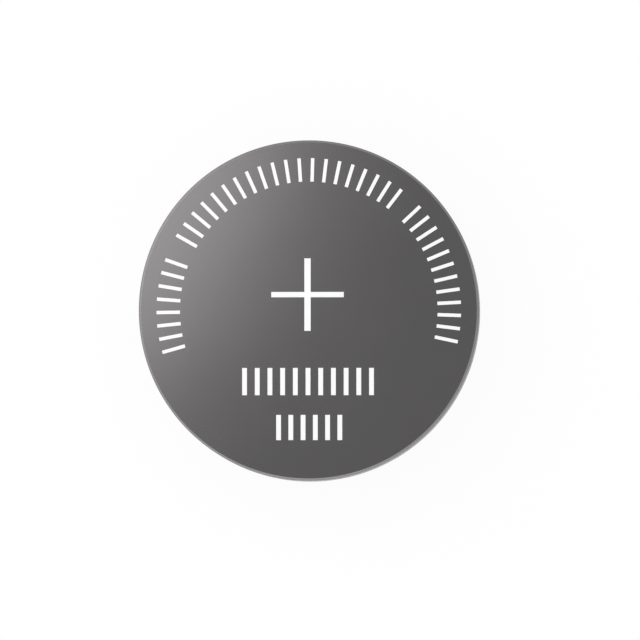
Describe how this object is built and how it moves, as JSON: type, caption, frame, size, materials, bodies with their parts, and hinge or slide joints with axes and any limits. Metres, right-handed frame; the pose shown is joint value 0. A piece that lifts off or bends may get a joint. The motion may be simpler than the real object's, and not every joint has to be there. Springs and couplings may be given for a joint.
{
  "type": "lithium coin cell",
  "caption": "Small round rechargeable button cell: flat positive can crimped over a sealing gasket and a raised negative cap, with its electrode stack inside.",
  "frame": {"origin": "centre of the negative contact face, which is the cell's lowest face", "axes": "+Z along the cell's axis, from the negative contact face to the positive face; +Y is up on the positive face as the picture shows it, with the plus sign upright"},
  "size_m": [0.01, 0.01, 0.0025],
  "materials": {
    "can_steel": "satin nickel-plated steel, dark where it reflects nothing bright",
    "gasket_plastic": "natural moulded polypropylene, milky",
    "cap_steel": "satin nickel-plated steel",
    "spring_steel": "bright spring steel",
    "spacer_steel": "smooth stainless steel",
    "mesh_copper": "bare copper mesh",
    "anode_graphite": "pressed graphite, dull",
    "separator_film": "porous white polymer film",
    "cathode_oxide": "pressed metal oxide powder, dull black",
    "mesh_aluminium": "bare aluminium mesh"
  },
  "bodies": {
    "root": {"positive_can": "can_steel", "sealing_gasket": "gasket_plastic", "negative_cap": "cap_steel", "wave_spring": "spring_steel", "spacer_disc": "spacer_steel", "anode_mesh": "mesh_copper", "anode_disc": "anode_graphite", "separator": "separator_film", "cathode_disc": "cathode_oxide", "cathode_mesh": "mesh_aluminium"}
  },
  "joints": []
}
